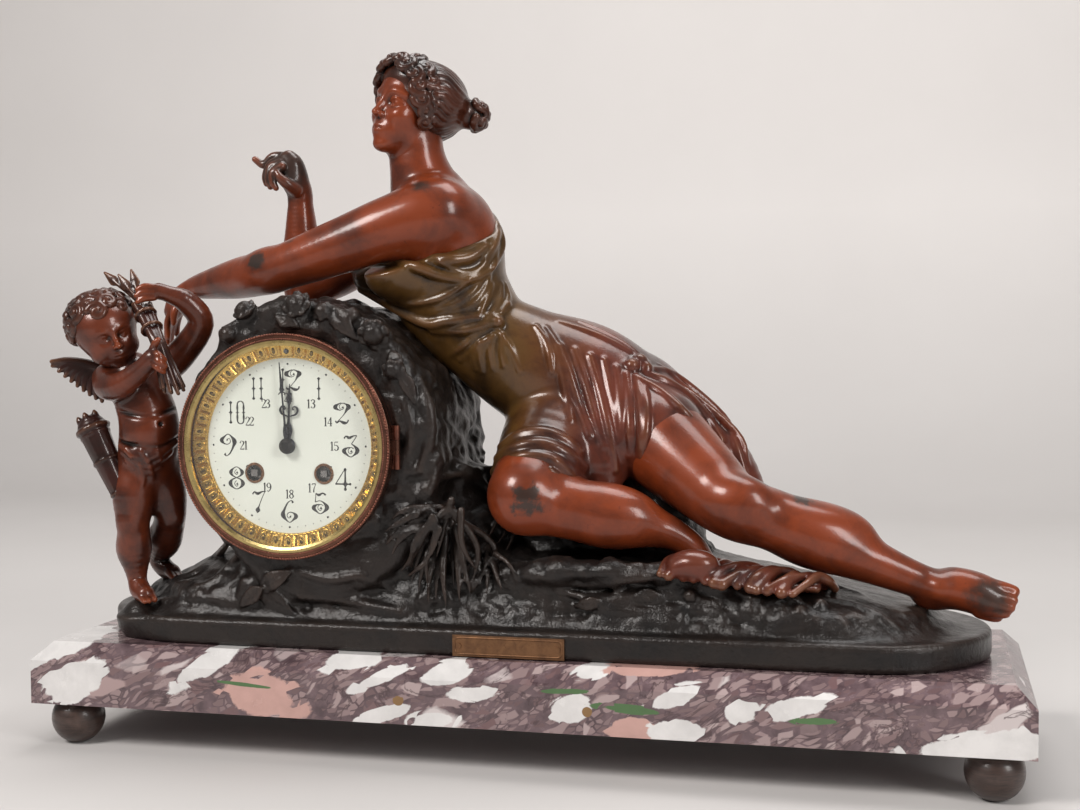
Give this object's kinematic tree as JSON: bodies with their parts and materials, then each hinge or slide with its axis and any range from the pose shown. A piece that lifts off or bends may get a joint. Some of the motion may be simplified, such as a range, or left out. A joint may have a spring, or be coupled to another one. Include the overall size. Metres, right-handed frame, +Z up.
{
  "type": "figural mantel clock",
  "caption": "Mantel clock with a reclining woman and a winged child in patinated metal beside a drum clock on rockwork, over a bevelled marble stand on ball feet.",
  "frame": {"origin": "on the floor under the middle of the stand", "axes": "+X along the stand to the viewer's right, +Y to the back, +Z up"},
  "size_m": [0.6259, 0.188, 0.4494],
  "materials": {
    "marble": "polished breccia marble, mauve with pale clasts",
    "turned_wood": "dark polished",
    "fixing_steel": "bright",
    "rock_bronze": "near-black brown patina",
    "plain_brass": "satin",
    "copper_bezel": "copper-red worn gilding",
    "gilt": "pressed and gilt",
    "clear_glass": "clear, bevelled",
    "enamel": "cream enamel",
    "blued_steel": "blued",
    "movement_steel": "polished",
    "bell_metal": "turned",
    "bronze_flesh": "red-brown lacquered patina",
    "bronze_dress": "olive-brown patina"
  },
  "bodies": {
    "stand": {"marble_plinth": "marble", "ball_feet": "turned_wood", "base_bolts": "fixing_steel", "rock_base": "rock_bronze", "name_plate": "plain_brass", "name_plate_pins": "plain_brass", "drum_case": "plain_brass", "case_ring": "copper_bezel", "hinge_pins": "fixing_steel", "gilt_ring": "gilt", "dial_plate": "plain_brass", "enamel_dial": "enamel", "winding_grommets": "plain_brass", "front_plate": "plain_brass", "back_plate": "plain_brass", "plate_pillars": "plain_brass", "case_straps": "plain_brass", "movement_screws": "fixing_steel", "clicks": "plain_brass", "back_cocks": "plain_brass", "bell": "bell_metal", "back_ring": "plain_brass", "woman_body": "bronze_dress", "woman_head": "bronze_flesh", "woman_left_arm": "bronze_flesh", "woman_right_arm": "bronze_flesh", "woman_left_leg": "bronze_flesh", "woman_right_leg": "bronze_flesh", "cherub_body": "bronze_flesh", "cherub_head": "bronze_flesh", "cherub_arms": "bronze_flesh", "cherub_wings": "bronze_dress", "quiver": "bronze_dress", "arrow_sheaf": "bronze_dress"},
    "front_door": {"bezel_door": "copper_bezel", "bezel_glass": "clear_glass"},
    "rear_door": {"back_door": "plain_brass"},
    "minute": {"minute_hand": "blued_steel", "hand_nut": "plain_brass", "cannon_pinion": "movement_steel"},
    "motion": {"minute_wheel": "plain_brass"},
    "hour": {"hour_hand": "blued_steel", "hour_wheel": "plain_brass"},
    "going_wind": {"going_winding_arbor": "movement_steel"},
    "strike_wind": {"strike_winding_arbor": "movement_steel"},
    "escape": {"escape_arbor": "plain_brass"},
    "third": {"third_arbor": "plain_brass"},
    "centre": {"centre_arbor": "plain_brass"},
    "intermediate": {"intermediate_arbor": "plain_brass"},
    "going_drum": {"going_barrel": "plain_brass", "going_mainspring": "movement_steel"},
    "fly": {"fly_arbor": "plain_brass"},
    "pin_wheel": {"pin_wheel_arbor": "plain_brass"},
    "second": {"strike_second_arbor": "plain_brass"},
    "strike_drum": {"strike_barrel": "plain_brass", "strike_mainspring": "movement_steel"},
    "swing": {"pendulum": "plain_brass"},
    "pallets": {"pallet_arbor": "movement_steel"},
    "hammer": {"hammer": "movement_steel"},
    "regulator": {"regulator_arbor": "movement_steel"}
  },
  "joints": [
    {"name": "front_door_hinge", "type": "hinge", "parent": "stand", "child": "front_door", "pos_m": [-0.0663, -0.072, 0.195], "axis": [0, 0, 1], "range_deg": [0, 105]},
    {"name": "back_door_hinge", "type": "hinge", "parent": "stand", "child": "rear_door", "pos_m": [-0.2137, 0.04, 0.195], "axis": [0, 0, 1], "range_deg": [0, 100]},
    {"name": "minute_hand_turn", "type": "hinge", "parent": "stand", "child": "minute", "pos_m": [-0.14, -0.07, 0.195], "axis": [0, 1, 0], "continuous": true},
    {"name": "minute_wheel_turn", "type": "hinge", "parent": "stand", "child": "motion", "pos_m": [-0.14, -0.062, 0.183], "axis": [0, 1, 0], "continuous": true},
    {"name": "hour_hand_turn", "type": "hinge", "parent": "stand", "child": "hour", "pos_m": [-0.14, -0.068, 0.195], "axis": [0, 1, 0], "continuous": true},
    {"name": "going_wind", "type": "hinge", "parent": "stand", "child": "going_wind", "pos_m": [-0.1165, -0.04, 0.1775], "axis": [0, 1, 0], "range_deg": [0, 1800]},
    {"name": "strike_wind", "type": "hinge", "parent": "stand", "child": "strike_wind", "pos_m": [-0.1635, -0.04, 0.1775], "axis": [0, 1, 0], "range_deg": [0, 1800]},
    {"name": "escape_turn", "type": "hinge", "parent": "stand", "child": "escape", "pos_m": [-0.14, -0.04, 0.2214], "axis": [0, 1, 0], "continuous": true},
    {"name": "third_turn", "type": "hinge", "parent": "stand", "child": "third", "pos_m": [-0.13338, -0.04, 0.20998], "axis": [0, 1, 0], "continuous": true},
    {"name": "centre_turn", "type": "hinge", "parent": "stand", "child": "centre", "pos_m": [-0.14, -0.04, 0.195], "axis": [0, 1, 0], "continuous": true},
    {"name": "intermediate_turn", "type": "hinge", "parent": "stand", "child": "intermediate", "pos_m": [-0.12269, -0.04, 0.19757], "axis": [0, 1, 0], "continuous": true},
    {"name": "going_barrel_turn", "type": "hinge", "parent": "stand", "child": "going_drum", "pos_m": [-0.1165, -0.04, 0.1775], "axis": [0, 1, 0], "continuous": true},
    {"name": "fly_turn", "type": "hinge", "parent": "stand", "child": "fly", "pos_m": [-0.15929, -0.04, 0.22223], "axis": [0, 1, 0], "continuous": true},
    {"name": "pin_wheel_turn", "type": "hinge", "parent": "stand", "child": "pin_wheel", "pos_m": [-0.15278, -0.04, 0.21447], "axis": [0, 1, 0], "continuous": true},
    {"name": "second_turn", "type": "hinge", "parent": "stand", "child": "second", "pos_m": [-0.15731, -0.04, 0.19757], "axis": [0, 1, 0], "continuous": true},
    {"name": "strike_barrel_turn", "type": "hinge", "parent": "stand", "child": "strike_drum", "pos_m": [-0.1635, -0.04, 0.1775], "axis": [0, 1, 0], "continuous": true},
    {"name": "pendulum_swing", "type": "hinge", "parent": "stand", "child": "swing", "pos_m": [-0.14, -0.012, 0.2365], "axis": [0, 1, 0], "range_deg": [-4, 4]},
    {"name": "pallet_swing", "type": "hinge", "parent": "stand", "child": "pallets", "pos_m": [-0.14, -0.03, 0.2365], "axis": [0, 1, 0], "range_deg": [-4, 4]},
    {"name": "hammer_lift", "type": "hinge", "parent": "stand", "child": "hammer", "pos_m": [-0.173, -0.04, 0.215], "axis": [0, -1, 0], "range_deg": [0, 12]},
    {"name": "regulator_turn", "type": "hinge", "parent": "stand", "child": "regulator", "pos_m": [-0.14, -0.04, 0.2546], "axis": [0, 1, 0], "range_deg": [-720, 720]}
  ],
  "couplings": [
    {"joint": "minute_wheel_turn", "follows": "minute_hand_turn", "ratio": -0.33333},
    {"joint": "hour_hand_turn", "follows": "minute_hand_turn", "ratio": 0.083333},
    {"joint": "third_turn", "follows": "escape_turn", "ratio": -0.1},
    {"joint": "centre_turn", "follows": "escape_turn", "ratio": 0.0083333},
    {"joint": "intermediate_turn", "follows": "escape_turn", "ratio": -0.0013889},
    {"joint": "going_barrel_turn", "follows": "escape_turn", "ratio": 0.00023148},
    {"joint": "fly_turn", "follows": "pin_wheel_turn", "ratio": -8},
    {"joint": "second_turn", "follows": "pin_wheel_turn", "ratio": -0.16667},
    {"joint": "strike_barrel_turn", "follows": "pin_wheel_turn", "ratio": 0.027778},
    {"joint": "pallet_swing", "follows": "pendulum_swing", "ratio": 1}
  ]
}
